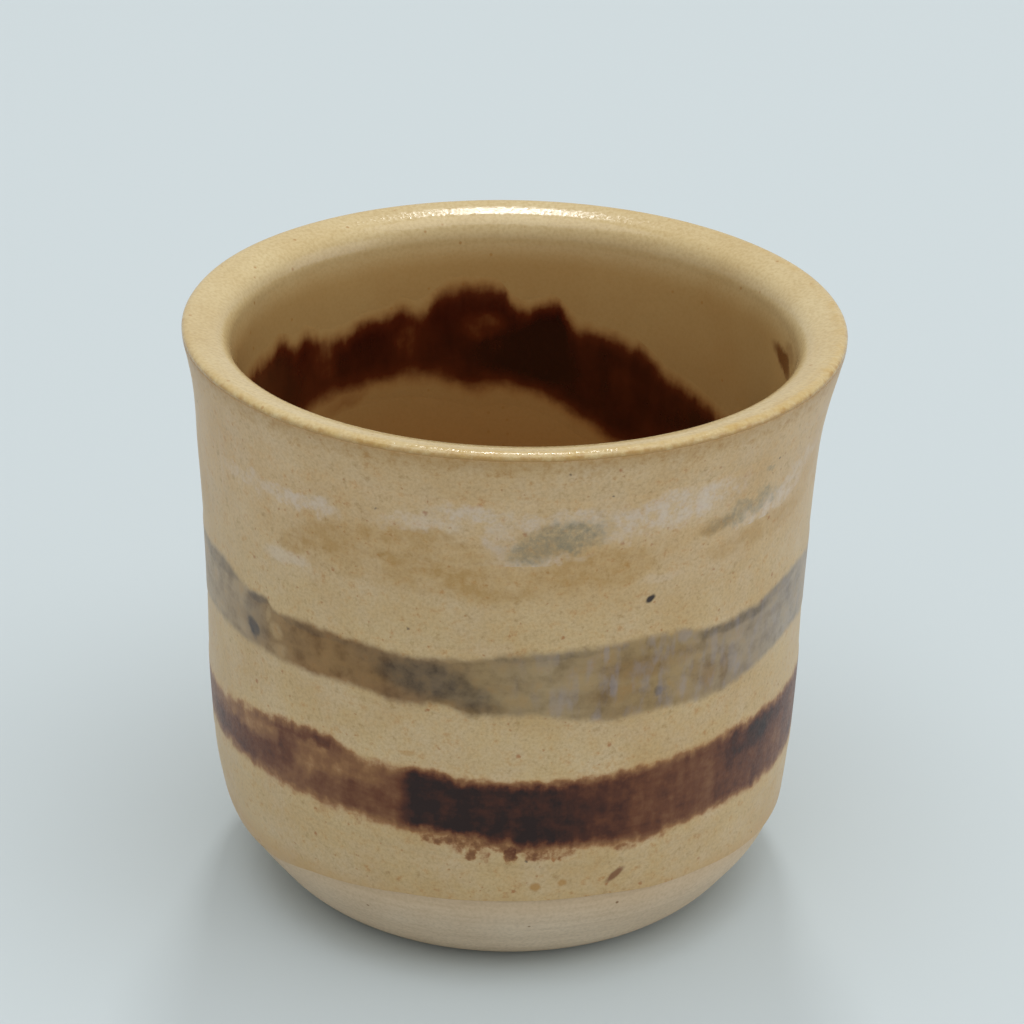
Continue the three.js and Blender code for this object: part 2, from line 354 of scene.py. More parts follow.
def poured_glaze(tree, place, height):
    """The glossy tan glaze of the inside: its colour and its fine grain. It is sandy yellow on the lip, with
    iron specks, ochre patches and a torn ochre line along its edge. On the wall it is honey-coloured and
    darkened as painted shade. Low down it is warmer and redder, as a painted reflection of the red iron band."""
    mottle = add(tree, "TexNoise", Vector=place, Scale=1 / 11, Detail=3.0)["Fac"]
    on_lip = add(tree, "ValToRGB", {"stops": [(0.3, "#cdb684"), (0.7, "#d7c496")]}, Fac=mottle)[0]
    # The inside colours are the glaze's honey tone darkened as painted shade, and the lip keeps the full
    # light.
    inside = add(tree, "ValToRGB", {"stops": [(0.3, "#b08e59"), (0.7, "#b79863")]}, Fac=mottle)[0]
    below_lip = add(tree, "MapRange", smooth, Value=height, From_Min=58.7, From_Max=53.8)[0]
    tone = blended(tree, below_lip, on_lip, inside)
    # Warmer and redder low down: a painted reflection of the red iron band on the lower inside.
    tint_share = add(tree, "MapRange", smooth, Value=height, From_Min=46.0, From_Max=32.0)[0]
    tone = blended(tree, tint_share, tone, linear("#b3884f"))
    sand = add(tree, "TexNoise", Vector=place, Scale=1 / 0.35, Detail=2.0)["Fac"]
    grainy = add(tree, "ValToRGB", {"stops": [(0.3, "#cbb78c"), (0.6, "#ffffff")]}, Fac=sand)[0]
    on_edge = add(tree, "MapRange", Value=below_lip, To_Min=0.3, To_Max=0.1)[0]
    tone = blended(tree, on_edge, tone, grainy, "MULTIPLY")
    bare = add(tree, "TexNoise", Vector=place, Scale=1 / 2.2, Detail=4.0, Roughness=0.6)["Fac"]
    bare = add(tree, "MapRange", Value=bare, From_Min=0.45, From_Max=0.68, To_Min=0.1, To_Max=0.6)[0]
    bare = add(tree, "Math", {"operation": "MULTIPLY"}, _0=bare, _1=at_arris(tree, place))[0]
    tone = blended(tree, bare, tone, linear("#c3a056"))
    torn = add(tree, "TexNoise", Vector=place, Scale=1 / 0.9, Detail=4.0, Roughness=0.65)["Fac"]
    low = add(tree, "Math", {"operation": "MULTIPLY_ADD"}, _0=torn, _1=-1.2, _2=height)[0]
    low = add(tree, "MapRange", Value=low, From_Min=58.75, From_Max=58.35, To_Max=0.75)[0]
    low = add(tree, "Math", {"operation": "MULTIPLY"}, _0=low, _1=at_arris(tree, place))[0]
    tone = blended(tree, low, tone, linear("#a97c3c"))
    speck = add(tree, "TexVoronoi", Vector=place, Scale=1 / 1.7)
    spot = add(tree, "MapRange", Value=speck["Distance"], From_Min=0.13, From_Max=0.07)[0]
    kind = add(tree, "SeparateColor", Color=speck["Color"])[0]
    rare = add(tree, "MapRange", Value=kind, From_Min=0.6, From_Max=0.62, To_Max=0.6)[0]
    spot = add(tree, "Math", {"operation": "MULTIPLY"}, _0=spot, _1=rare)[0]
    return blended(tree, spot, tone, linear("#a8793f")), sand


def glossy(tree, shader, tone, sand, place):
    """Ends a material of the inside: its colour, a wet gloss, and a fine ripple, sandier on the lip."""
    tree.links.new(tone, shader.inputs["Base Color"])
    gloss = add(tree, "MapRange", Value=sand, From_Min=0.3, From_Max=0.7, To_Min=0.12, To_Max=0.24)[0]
    tree.links.new(gloss, shader.inputs["Roughness"])
    ripple = add(tree, "TexNoise", Vector=place, Scale=1 / 0.6, Detail=2.0)["Fac"]
    ripple = add(tree, "Math", {"operation": "ADD"}, _0=ripple, _1=sand)[0]
    height = add(tree, "SeparateXYZ", Vector=place)["Z"]
    sandy = add(tree, "MapRange", Value=height, From_Min=57.0, From_Max=58.8, To_Min=0.12, To_Max=0.42)[0]
    sandy = add(tree, "Math", {"operation": "MULTIPLY_ADD"}, _0=at_arris(tree, place), _1=0.4, _2=sandy)[0]
    relief = add(tree, "Bump", Height=ripple, Strength=sandy, Distance=0.05 * mm)[0]
    tree.links.new(relief, shader.inputs["Normal"])


# Poured tan glaze, glossier than the outside: a sandy lip that sparkles, and a honey-coloured inside,
# darkened as painted shade and redder low down as a painted reflection of the iron band, with one stray smear
# of iron under the lip.
liner_glaze, tree, shader = fired("poured_tan_glaze")
place, degrees, height = on_the_cup(tree, "in")
tone, sand = poured_glaze(tree, place, height)
chart = rolled_out(tree, place, degrees, height, 0.5, inner_arc)
smear = dabs(tree, chart, [(-83, 53.8, 3.9, 0.8, 2, 0.95), (-86, 55.1, 2.4, 0.7, 0, 0.3)], inner_arc)
tone = blended(tree, smear, tone, linear("#633413"))
glossy(tree, shader, tone, sand, place)
liner.data.materials.append(liner_glaze)

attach(liner, "root")
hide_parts("liner_glaze")


# OUTER GLAZE
# The satin tan glaze that the outside was dipped in, held by the foot: it ends in a slightly wavy dip line
# above the heel, a little higher on one side, with a thin rounded edge on the bare clay.

dip_line = [
    (-180, 8.6), (-150, 8.9), (-120, 8.2), (-90, 7.7), (-70, 7.5), (-52, 7.7), (-40, 9.0), (-30, 9.5),
    (-19, 10.1), (0, 10.4), (20, 10.4), (31, 9.9), (42, 9.8), (52, 9.4), (62, 9.1), (90, 8.8), (120, 9.2),
    (150, 8.8), (180, 8.6),
]
lip_line = [(-180, 59.05), (180, 59.05)]
liner_floor = 5.5
iron_spot_colour = "#3a302a"


def height_on(line, degrees):
    """The height at an angle of a line drawn round the cup through (degrees, height) points."""
    for (start, low), (end, high) in zip(line, line[1:]):
        if degrees <= end:
            return low + (high - low) * (degrees - start) / (end - start)


def slid(piece, side, low, high):
    """Slides the rows of a spun sheet up or down the clay, so that it runs from one drawn line to another."""
    rows = sorted(
        (v.co.z / mm, v.co.x / mm) for v in section.data.vertices
        if (v.index <= crest) == (side == "out") and v.co.z > liner_floor * mm
    )
    lowest = min(v.co.z for v in piece.data.vertices)
    highest = max(v.co.z for v in piece.data.vertices)
    facing = 1 if side == "out" else -1
    for vertex in piece.data.vertices:
        angle = math.atan2(facing * vertex.co.x, -facing * vertex.co.y)
        bottom = height_on(low, math.degrees(angle))
        top = height_on(high, math.degrees(angle))
        height = bottom + (top - bottom) * (vertex.co.z - lowest) / (highest - lowest)
        radius = height_on(rows, height)
        across = facing * radius * mm
        vertex.co = (across * math.sin(angle), -across * math.cos(angle), height * mm)


outer = spun("dipped_outer_glaze", lambda side, radius, height: side == "out" and 9 < height < 59.1)
slid(outer, "out", dip_line, lip_line)
skin(outer, thickness=0.30, fade=0.3)


def tan_glaze(tree, place, height):
    """The satin tan glaze of the outside, under every brush mark: its colour, and its fine grain for gloss
    and relief. It is warmer high up and creamier low down, hazy in places, flecked, peppered with iron, and
    ochre in a ragged line under the lip."""
    mottle = add(tree, "TexNoise", Vector=place, Scale=1 / 8, Detail=5.0, Roughness=0.6)["Fac"]
    warm = add(tree, "ValToRGB", {"stops": [(0.3, "#c9a97a"), (0.7, "#d5ba91")]}, Fac=mottle)[0]
    creamy = add(tree, "ValToRGB", {"stops": [(0.3, "#c6a97a"), (0.7, "#d0b88d")]}, Fac=mottle)[0]
    high = add(tree, "MapRange", smooth, Value=height, From_Min=36.0, From_Max=52.0)[0]
    tone = blended(tree, high, creamy, warm)
    haze = add(tree, "TexNoise", Vector=place, Scale=1 / 4.5, Detail=4.0, Roughness=0.6)["Fac"]
    haze = add(tree, "MapRange", Value=haze, From_Min=0.45, From_Max=0.75, To_Max=0.45)[0]
    tone = blended(tree, haze, tone, linear("#d2bea2"))
    flecked = add(tree, "TexNoise", Vector=place, Scale=1 / 1.0, Detail=5.0, Roughness=0.7)["Fac"]
    flecks = add(tree, "ValToRGB", {"stops": [
        (0.3, "#dfd3b8"), (0.43, "#ffffff"), (0.57, "#fffaf0"), (0.72, "#e8bf8c"),
    ]}, Fac=flecked)[0]
    tone = blended(tree, 0.7, tone, flecks, "MULTIPLY")
    sand = add(tree, "TexNoise", Vector=place, Scale=1 / 0.3, Detail=2.0, Roughness=0.6)["Fac"]
    grainy = add(tree, "ValToRGB", {"stops": [(0.28, "#c2a67e"), (0.6, "#ffffff")]}, Fac=sand)[0]
    tone = blended(tree, 0.3, tone, grainy, "MULTIPLY")
    torn = add(tree, "TexNoise", Vector=place, Scale=1 / 0.35, Detail=1.0)["Color"]
    torn = add(tree, "VectorMath", {"operation": "SCALE"}, _0=torn, Scale=0.4)[0]
    torn = add(tree, "VectorMath", {"operation": "ADD"}, _0=place, _1=torn)[0]
    for spacing, size, share, depth, colour in (
        (1.1, 0.15, 0.45, 0.6, "#a9713c"), (2.9, 0.10, 0.45, 0.7, "#a2632f"),
        (3.7, 0.055, 0.45, 0.8, "#5a4c40"),
    ):
        speck = add(tree, "TexVoronoi", Vector=torn, Scale=1 / spacing)
        spot = speck["Distance"]
        spot = add(tree, "MapRange", Value=spot, From_Min=size, From_Max=0.4 * size, To_Max=depth)[0]
        kind = add(tree, "SeparateColor", Color=speck["Color"])[0]
        rare = add(tree, "Math", {"operation": "GREATER_THAN"}, _0=kind, _1=1 - share)[0]
        spot = add(tree, "Math", {"operation": "MULTIPLY"}, _0=spot, _1=rare)[0]
        tone = blended(tree, spot, tone, linear(colour))
    edge = add(tree, "Math", {"operation": "MULTIPLY_ADD"}, _0=flecked, _1=7.0, _2=height)[0]
    edge = add(tree, "MapRange", Value=edge, From_Min=60.3, From_Max=62.6, To_Max=0.6)[0]
    tone = blended(tree, edge, tone, linear("#a67f45"))
    return tone, sand


def satin(tree, shader, tone, sand, place):
    """Ends a material of the outside: its colour, the satin gloss and the slight ripple of fired glaze."""
    tree.links.new(tone, shader.inputs["Base Color"])
    shader.inputs["Specular IOR Level"].default_value = 0.3
    shader.inputs["Sheen Weight"].default_value = 0.08
    shader.inputs["Sheen Roughness"].default_value = 0.4
    gloss = add(tree, "MapRange", Value=sand, From_Min=0.3, From_Max=0.7, To_Min=0.36, To_Max=0.52)[0]
    tree.links.new(gloss, shader.inputs["Roughness"])
    ripple = add(tree, "TexNoise", Vector=place, Scale=1 / 2.4, Detail=1.0)["Fac"]
    relief = add(tree, "Math", {"operation": "MULTIPLY_ADD"}, _0=ripple, _1=1.5, _2=sand)[0]
    relief = add(tree, "Bump", Height=relief, Strength=0.3, Distance=0.03 * mm)[0]
    tree.links.new(relief, shader.inputs["Normal"])


# Dipped tan glaze with a few stray splashes of slip: an ochre pair and a brown fleck below the iron band,
# and a dark iron spot higher up. It grows richer in ochre towards its lower edge.
outer_glaze, tree, shader = fired("dipped_tan_glaze")
place, degrees, height = on_the_cup(tree)
tone, sand = tan_glaze(tree, place, height)
chart = rolled_out(tree, place, degrees, height, 0.25)
ochre_drops = dabs(tree, chart, [
    (7, 12.3, 0.55, 0.5, 0, 0.75), (12, 12.6, 0.45, 0.4, 0, 0.65), (-17, 26.6, 0.8, 0.3, 10, 0.4),
    (133, 12.9, 0.6, 0.5, 0, 0.6),
])
tone = blended(tree, ochre_drops, tone, linear("#b0813f"))
brown_flecks = dabs(tree, chart, [(22.3, 12.8, 1.15, 0.42, 38, 0.85), (-128, 13.4, 0.8, 0.4, -20, 0.8)])
tone = blended(tree, brown_flecks, tone, linear("#7a4a2c"))
iron_spots = dabs(tree, chart, [(26.4, 42.8, 0.5, 0.36, 40, 1.0), (-104, 43.6, 0.35, 0.3, 0, 0.9)])
tone = blended(tree, iron_spots, tone, linear(iron_spot_colour))
rim_line = add(tree, "MapRange", Value=height, From_Min=11.4, From_Max=9.4, To_Max=0.4)[0]
tone = blended(tree, rim_line, tone, linear("#c09358"))
satin(tree, shader, tone, sand, place)
outer.data.materials.append(outer_glaze)

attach(outer, "root")
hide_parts("outer_glaze")


# IRON BAND
# A broad stroke of iron slip round the lower wall, brushed on the turning cup and fired into the glaze: dense
# and nearly black where the brush was reloaded, a thin brown wash where it ran dry, with runs along its foot.

iron_top = [
    (-180, 24.6), (-150, 25.2), (-120, 24.4), (-95, 23.6), (-80, 23.2), (-70, 23.4), (-60, 24.5),
    (-50, 25.3), (-45, 25.7), (-40, 26.0), (-34, 26.4), (-31, 25.9), (-27, 25.2), (-20, 25.0), (-10, 24.6),
    (-5, 24.2), (0, 24.1), (5, 23.9), (10, 24.0), (20, 24.3), (30, 24.6), (40, 24.8), (47, 25.0),
    (55, 24.8), (65, 24.8), (75, 24.5), (100, 24.2), (130, 24.9), (155, 24.2), (180, 24.6),
]
iron_bottom = [
    (-180, 17.6), (-150, 17.9), (-120, 18.2), (-90, 18.2), (-70, 18.4), (-60, 18.8), (-50, 18.9),
    (-40, 18.8), (-30, 18.5), (-20, 18.4), (-17, 18.2), (-10, 18.2), (-2, 17.6), (2, 17.2), (8, 16.9),
    (15, 17.0), (20, 16.7), (27, 16.5), (33, 16.8), (40, 17.1), (47, 17.2), (55, 17.0), (65, 16.8),
    (80, 17.1), (105, 17.8), (140, 17.2), (180, 17.6),
]
band_coat = 0.12
band_fade = 0.9
band_seat = 0.25
iron_drip = 2.8
iron_fringe = 1.3
iron = spun("brushed_iron_band", lambda side, radius, height: side == "out" and 15 < height < 27)
slid(iron, "out", [(d, h - iron_drip) for d, h in iron_bottom], [(d, h + iron_fringe) for d, h in iron_top])
skin(iron, band_coat, band_fade, band_seat)


def traced(tree, degrees, line):
    """A value that changes round the cup, on a smooth curve drawn through (degrees, value) points."""
    values = [value for _, value in line]
    low, high = min(values), max(values)
    points = [((d + 180) / 360, (value - low) / (high - low)) for d, value in line]
    share = add(tree, "MapRange", Value=degrees, From_Min=-180.0, From_Max=180.0)[0]
    drawn = add(tree, "FloatCurve", {"points": points}, Value=share)[0]
    return add(tree, "MapRange", Value=drawn, To_Min=low, To_Max=high)[0]


def between(tree, chart, across, bottom, top, soft_bottom, soft_top):
    """How far a point of the rolled-out wall lies in a stroke between two drawn lines, soft at both."""
    along, height, _ = add(tree, "SeparateXYZ", Vector=chart)
    degrees = add(tree, "Math", {"operation": "DIVIDE"}, _0=along, _1=across)[0]
    foot = traced(tree, degrees, bottom)
    above = add(tree, "Math", {"operation": "SUBTRACT"}, _0=height, _1=foot)[0]
    above = add(tree, "MapRange", smooth, Value=above, From_Min=-soft_bottom, From_Max=soft_bottom)[0]
    head = traced(tree, degrees, top)
    under = add(tree, "Math", {"operation": "SUBTRACT"}, _0=head, _1=height)[0]
    under = add(tree, "MapRange", smooth, Value=under, From_Min=-soft_top, From_Max=soft_top)[0]
    return add(tree, "Math", {"operation": "MULTIPLY"}, _0=above, _1=under)[0]


def streaks(tree, place, along, up):
    """The drag of brush hairs: a fine grain stretched to along millimetres round the cup and up its wall."""
    drawn = add(tree, "VectorMath", {"operation": "MULTIPLY"}, _0=place, _1=(1 / along, 1 / along, 1 / up))[0]
    return add(tree, "TexNoise", Vector=drawn, Scale=1.0, Detail=3.0)["Fac"]


# Iron slip under the glaze: the eye reads how thick it lies, from an orange-brown stain at its frayed edges
# through a see-through brown wash to red-brown and a black that has lost its streaks.
iron_load = [
    (-180, 0.7), (-150, 0.55), (-120, 0.8), (-90, 0.6), (-72, 0.52), (-60, 0.52), (-50, 0.52), (-44, 0.52),
    (-40, 0.47), (-36, 0.44), (-30, 0.46), (-24, 0.48), (-20, 0.5), (-18.6, 0.6), (-17, 0.88), (-12, 1.0),
    (-5, 1.0), (0, 0.92), (6, 0.97), (12, 0.92), (17, 0.8), (24, 0.74), (32, 0.64), (38, 0.66),
    (41.5, 0.58), (44, 0.66), (48, 0.76), (56, 0.78), (64, 0.7), (80, 0.66), (105, 0.55), (130, 0.85),
    (160, 0.6), (180, 0.7),
]
iron_glaze, tree, shader = fired("iron_slip_under_glaze")
place, degrees, height = on_the_cup(tree)
tone, sand = tan_glaze(tree, place, height)
chart = rolled_out(tree, place, degrees, height, 0.6)
cover = between(tree, chart, arc, iron_bottom, iron_top, 1.0, 0.9)
torn = rolled_out(tree, place, degrees, height, 1.0)
runs = dabs(tree, torn, [
    (-12, 17.6, 1.5, 0.9, 0, 0.2), (-8, 17.4, 1.0, 1.0, 0, 0.15), (-5, 16.5, 0.6, 1.3, 0, 0.22),
    (-2.5, 16.2, 0.6, 1.1, 0, 0.16), (2.4, 16.4, 0.6, 1.3, 0, 0.34), (7, 16.2, 1.5, 0.9, 0, 0.22),
    (11.5, 16.1, 1.4, 0.8, 0, 0.18), (-35.5, 18.2, 1.5, 1.0, 0, 0.15), (-27, 18.4, 0.6, 0.6, 0, 0.3),
    (-47, 18.6, 1.6, 0.8, 0, 0.16), (-31, 18.2, 0.9, 0.7, 0, 0.14), (31, 16.3, 1.0, 0.7, 0, 0.2),
    (24, 16.0, 1.2, 0.6, 0, 0.22), (-2, 17.4, 7.0, 0.8, -5, 0.24), (-42, 18.5, 1.0, 0.7, 0, 0.14),
])
grit = add(tree, "TexNoise", Vector=place, Scale=1 / 1.0, Detail=4.0, Roughness=0.6)["Fac"]
gritty = add(tree, "MapRange", Value=grit, From_Min=0.38, From_Max=0.6, To_Min=0.8, To_Max=2.2)[0]
runs = add(tree, "Math", {"operation": "MULTIPLY"}, _0=runs, _1=gritty)[0]
dripped = streaks(tree, place, 1.2, 7.0)
fray = add(tree, "Math", {"operation": "ADD"}, _0=grit, _1=dripped)[0]
fray = add(tree, "MapRange", Value=fray, From_Min=0.8, From_Max=1.2, To_Min=0.6, To_Max=1.4)[0]
bare = add(tree, "Math", {"operation": "SUBTRACT"}, _0=1.0, _1=cover)[0]
fray = add(tree, "Math", {"operation": "POWER"}, _0=bare, _1=fray)[0]
cover = add(tree, "Math", {"operation": "SUBTRACT"}, _0=1.0, _1=fray)[0]
cover = add(tree, "Math", {"operation": "MAXIMUM"}, _0=cover, _1=runs)[0]
load = traced(tree, degrees, iron_load)
more = dabs(tree, torn, [
    (-58, 20.9, 9.0, 1.5, 3, 0.2), (-43, 23.6, 1.4, 2.2, 0, 0.16), (-34.5, 25.5, 1.2, 0.8, 0, 0.3),
    (-41, 25.6, 6.0, 0.7, 5, 0.2), (-28, 20.6, 6.0, 1.6, 0, 0.12), (57, 23.4, 7.0, 1.8, 0, 0.14),
])
less = dabs(tree, torn, [
    (-57, 23.5, 4.8, 1.4, 3, 0.16), (-38, 23.3, 2.6, 1.7, 0, 0.08), (-26.5, 23.6, 3.0, 1.5, 0, 0.1),
    (58, 19.2, 7.0, 1.6, 0, 0.08),
])
dragged = streaks(tree, place, 7.0, 0.7)
patchy = add(tree, "TexNoise", Vector=place, Scale=1 / 2.2, Detail=5.0, Roughness=0.6)["Fac"]
load = add(tree, "Math", {"operation": "ADD"}, _0=load, _1=more)[0]
load = add(tree, "Math", {"operation": "SUBTRACT"}, _0=load, _1=less)[0]
for pattern, strength in ((dragged, 0.14), (dripped, 0.24), (patchy, 0.6), (grit, 0.25)):
    change = add(tree, "Math", {"operation": "MULTIPLY_ADD"}, _0=pattern, _1=strength, _2=-0.5 * strength)[0]
    load = add(tree, "Math", {"operation": "ADD"}, _0=load, _1=change)[0]
load = add(tree, "Math", {"operation": "MULTIPLY", "use_clamp": True}, _0=load, _1=cover)[0]
slip = add(tree, "ValToRGB", {"stops": [
    (0.0, "#b87a2e"), (0.12, "#a3641f"), (0.24, "#8f5424"), (0.38, "#8b603a"), (0.5, "#7d5233"),
    (0.66, "#683a1f"), (0.82, "#4c2413"), (1.0, "#26110d"),
]}, Fac=load)[0]
seen = add(tree, "MapRange", smooth, Value=load, From_Min=0.0, From_Max=0.42)[0]
tone = blended(tree, seen, tone, slip)
satin(tree, shader, tone, sand, place)
iron.data.materials.append(iron_glaze)

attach(iron, "root")
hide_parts("iron_band")


# GREY BAND
# A stroke of grey slip round the upper half of the wall, brushed and fired as the iron band was. The brush
# picked up other slips on its way, so it goes from taupe to olive brown, a charcoal patch and a mottled
# blue-grey.

grey_top = [
    (-180, 38.2), (-150, 37.6), (-120, 38.4), (-95, 37.8), (-80, 38.6), (-70, 39.2), (-65, 39.4),
    (-60, 39.1), (-56, 38.5), (-52, 38.3), (-48, 38.5), (-46, 37.5), (-40, 37.8), (-30, 37.7), (-22, 37.4),
    (-14, 37.2), (-7, 37.3), (0, 38.0), (10, 38.3), (20, 38.6), (28, 38.7), (35, 38.4), (42, 37.8),
    (50, 37.9), (56, 38.2), (62, 38.8), (68, 38.9), (80, 38.0), (110, 38.6), (140, 37.7), (180, 38.2),
]
grey_bottom = [
    (-180, 31.4), (-150, 31.0), (-120, 31.8), (-95, 31.2), (-80, 31.6), (-65, 32.3), (-55, 32.4),
    (-47, 32.5), (-38, 32.5), (-30, 32.7), (-22, 32.2), (-17, 32.0), (-12, 32.4), (-5, 31.4), (3, 31.6),
    (10, 31.2), (15, 30.7), (21, 30.4), (28, 30.6), (35, 30.3), (45, 30.4), (52, 30.9), (60, 31.5),
    (68, 31.8), (80, 31.2), (110, 31.6), (145, 30.9), (180, 31.4),
]
grey_fringe = 1.4
grey = spun("brushed_grey_band", lambda side, radius, height: side == "out" and 29.5 < height < 40)
slid(grey, "out", [(d, h - grey_fringe) for d, h in grey_bottom], [(d, h + grey_fringe) for d, h in grey_top])
skin(grey, band_coat, band_fade, band_seat)

# Grey slip under the glaze: half see-through, so the tan shows between the brush hairs, with blue-grey
# streaks where it pooled and ran, and a dark blot where the stroke began.
grey_glaze, tree, shader = fired("grey_slip_under_glaze")
place, degrees, height = on_the_cup(tree)
tone, sand = tan_glaze(tree, place, height)
chart = rolled_out(tree, place, degrees, height, 0.45)
cover = between(tree, chart, arc, grey_bottom, grey_top, 0.5, 0.45)
share = add(tree, "MapRange", Value=degrees, From_Min=-90.0, From_Max=90.0)[0]
slip = add(tree, "ValToRGB", {"stops": [
    (0, "#af9c81"), (0.2, "#a89376"), (0.24, "#9a7c52"), (0.3, "#936b37"), (0.37, "#866238"),
    (0.42, "#826443"), (0.48, "#998159"), (0.54, "#a6926f"), (0.61, "#9c845e"), (0.67, "#a38a5d"),
    (0.75, "#a08e75"), (0.86, "#a79c8f"), (1, "#af9c81"),
]}, Fac=share)[0]
patchy = add(tree, "TexNoise", Vector=place, Scale=1 / 2.0, Detail=5.0, Roughness=0.6)["Fac"]
thin = add(tree, "MapRange", Value=patchy, From_Min=0.35, From_Max=0.68, To_Min=1.0, To_Max=0.72)[0]
olive = dabs(tree, chart, [
    (25, 35.6, 3.6, 1.2, 0, 0.55), (20, 33.2, 2.6, 0.9, 0, 0.35), (40, 32.6, 1.0, 1.6, 0, 0.6),
    (44, 32.8, 0.7, 1.6, 0, 0.5), (37, 33.5, 0.7, 1.4, 0, 0.4), (-33, 35.2, 8.0, 2.0, -2, 0.5),
    (-6, 32.4, 3.4, 0.6, -4, 0.6), (33, 36.0, 2.0, 1.0, 0, 0.35),
])
slip = blended(tree, olive, slip, linear("#836230"))
charcoal = dabs(tree, chart, [
    (-14, 35.0, 4.6, 1.9, -8, 0.82), (-7, 33.8, 4.0, 1.4, -24, 0.68), (-21, 36.4, 4.0, 1.0, -4, 0.35),
    (29, 32.6, 0.45, 0.5, 0, 0.6), (47, 37.3, 5.6, 0.7, 0, 0.5), (60, 38.0, 5.0, 0.6, 4, 0.35),
    (-36, 37.2, 6.0, 0.4, -2, 0.35), (9, 37.8, 6.0, 0.35, 3, 0.3), (-66, 38.4, 6.0, 0.7, 3, 0.4),
])
charcoal = add(tree, "Math", {"operation": "MULTIPLY"}, _0=charcoal, _1=thin)[0]
slip = blended(tree, charcoal, slip, linear("#453a30"))
dragged = streaks(tree, place, 5.0, 1.3)
hairs = add(tree, "ValToRGB", {"stops": [(0.35, "#b29a70"), (0.62, "#ffffff")]}, Fac=dragged)[0]
slip = blended(tree, 0.25, slip, hairs, "MULTIPLY")
spotty = add(tree, "ValToRGB", {"stops": [
    (0.3, "#b3a180"), (0.52, "#f4f0ea"), (0.68, "#ffeccb"),
]}, Fac=patchy)[0]
slip = blended(tree, 0.5, slip, spotty, "MULTIPLY")
blue_runs = streaks(tree, place, 1.2, 2.6)
blue_runs = add(tree, "MapRange", smooth, Value=blue_runs, From_Min=0.42, From_Max=0.8)[0]
tint_share = traced(tree, degrees, [
    (-180, 0.3), (-120, 0.5), (-85, 0.3), (-50, 0.0), (-5, 0.05), (8, 0.3), (20, 0.5), (40, 0.5), (52, 0.4),
    (75, 0.35), (120, 0.5), (180, 0.3),
])
blue_runs = add(tree, "Math", {"operation": "MULTIPLY"}, _0=blue_runs, _1=tint_share)[0]
drops = dabs(tree, chart, [
    (18.5, 38.0, 0.35, 1.4, 0, 0.4), (20, 34.0, 0.4, 1.2, 0, 0.45), (34, 38.0, 0.8, 0.9, 0, 0.35),
    (9, 32.8, 0.4, 1.6, 0, 0.25), (13, 34.2, 0.4, 1.6, 0, 0.22), (41, 35.5, 0.45, 2.0, 0, 0.3),
    (46, 33.6, 0.5, 1.8, 0, 0.25),
])
blue_runs = add(tree, "Math", {"operation": "MAXIMUM"}, _0=blue_runs, _1=drops)[0]
slip = blended(tree, blue_runs, slip, linear("#94909a"))
blot = dabs(tree, chart, [
    (-52.3, 34.3, 0.9, 1.2, 30, 1.0), (-50.5, 37.9, 1.5, 0.5, 10, 0.5), (-52, 35.2, 2.0, 2.4, 0, 0.25),
])
slip = blended(tree, blot, slip, linear("#34333b"))
gap = dabs(tree, chart, [
    (-45.6, 35.3, 0.9, 0.8, 25, 0.34), (-44.6, 33.4, 1.0, 0.7, 20, 0.26), (-47.4, 36.8, 0.35, 1.0, 0, 0.25),
])
weight = add(tree, "MapRange", Value=patchy, From_Min=0.3, From_Max=0.7, To_Min=1.0, To_Max=0.8)[0]
weight = add(tree, "Math", {"operation": "SUBTRACT", "use_clamp": True}, _0=weight, _1=gap)[0]
cover = add(tree, "Math", {"operation": "MULTIPLY"}, _0=cover, _1=weight)[0]
tone = blended(tree, cover, tone, slip)
satin(tree, shader, tone, sand, place)
grey.data.materials.append(grey_glaze)

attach(grey, "root")
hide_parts("grey_band")


# OCHRE STROKE
# A thin ochre wash brushed along the front under the lip with a half-dry brush: an arc that starts and ends
# on the wall, fired under the glaze.

pale_slip_colour = "#d8cdc4"
ochre_low = 41.4
ochre_high = 52.4
ochre = spun(
    "brushed_ochre_stroke", lambda side, radius, height: side == "out" and ochre_low < height < ochre_high,
    first=-52, turn=126,
)
skin(ochre, thickness=0.11, fade=1.2, seat=0.24)

ochre_marks = [
    (-8, 47.0, 19.0, 3.0, 0, 0.36), (-39, 46.4, 2.4, 1.4, 20, 0.65), (-30, 47.9, 5.5, 1.9, 10, 0.52),
    (-20, 48.6, 6.5, 2.0, 4, 0.5), (-13, 50.3, 2.6, 0.7, 0, 0.55), (-16, 47.0, 6.5, 1.2, -8, 0.6),
    (-6, 45.6, 4.0, 1.8, -14, 0.58), (-9, 48.8, 3.0, 1.2, 0, 0.42), (1, 44.9, 3.4, 1.2, 0, 0.45),
    (13, 46.6, 6.0, 1.5, 0, 0.52), (20, 46.2, 3.6, 1.4, 10, 0.6), (19, 47.9, 4.0, 1.0, 0, 0.45),
    (39, 49.0, 2.2, 0.9, 0, 0.6), (52, 46.2, 8.0, 1.3, 2, 0.4), (-26, 45.2, 6.0, 1.0, 4, 0.35),
]


def ochre_wash(tree, place, chart, tone):
    """Ochre over the tan glaze: a dry, streaky stain that gathers in lines where the brush lifted."""
    wash = dabs(tree, chart, ochre_marks)
    dragged = streaks(tree, place, 3.0, 1.2)
    patchy = add(tree, "TexNoise", Vector=place, Scale=1 / 1.6, Detail=5.0, Roughness=0.65)["Fac"]
    dry = add(tree, "Math", {"operation": "MULTIPLY_ADD"}, _0=patchy, _1=1.6, _2=dragged)[0]
    dry = add(tree, "MapRange", smooth, Value=dry, From_Min=0.95, From_Max=1.65, To_Min=0.38, To_Max=1.08)[0]
    wash = add(tree, "Math", {"operation": "MULTIPLY"}, _0=wash, _1=dry)[0]
    return blended(tree, wash, tone, linear("#a77d36"))


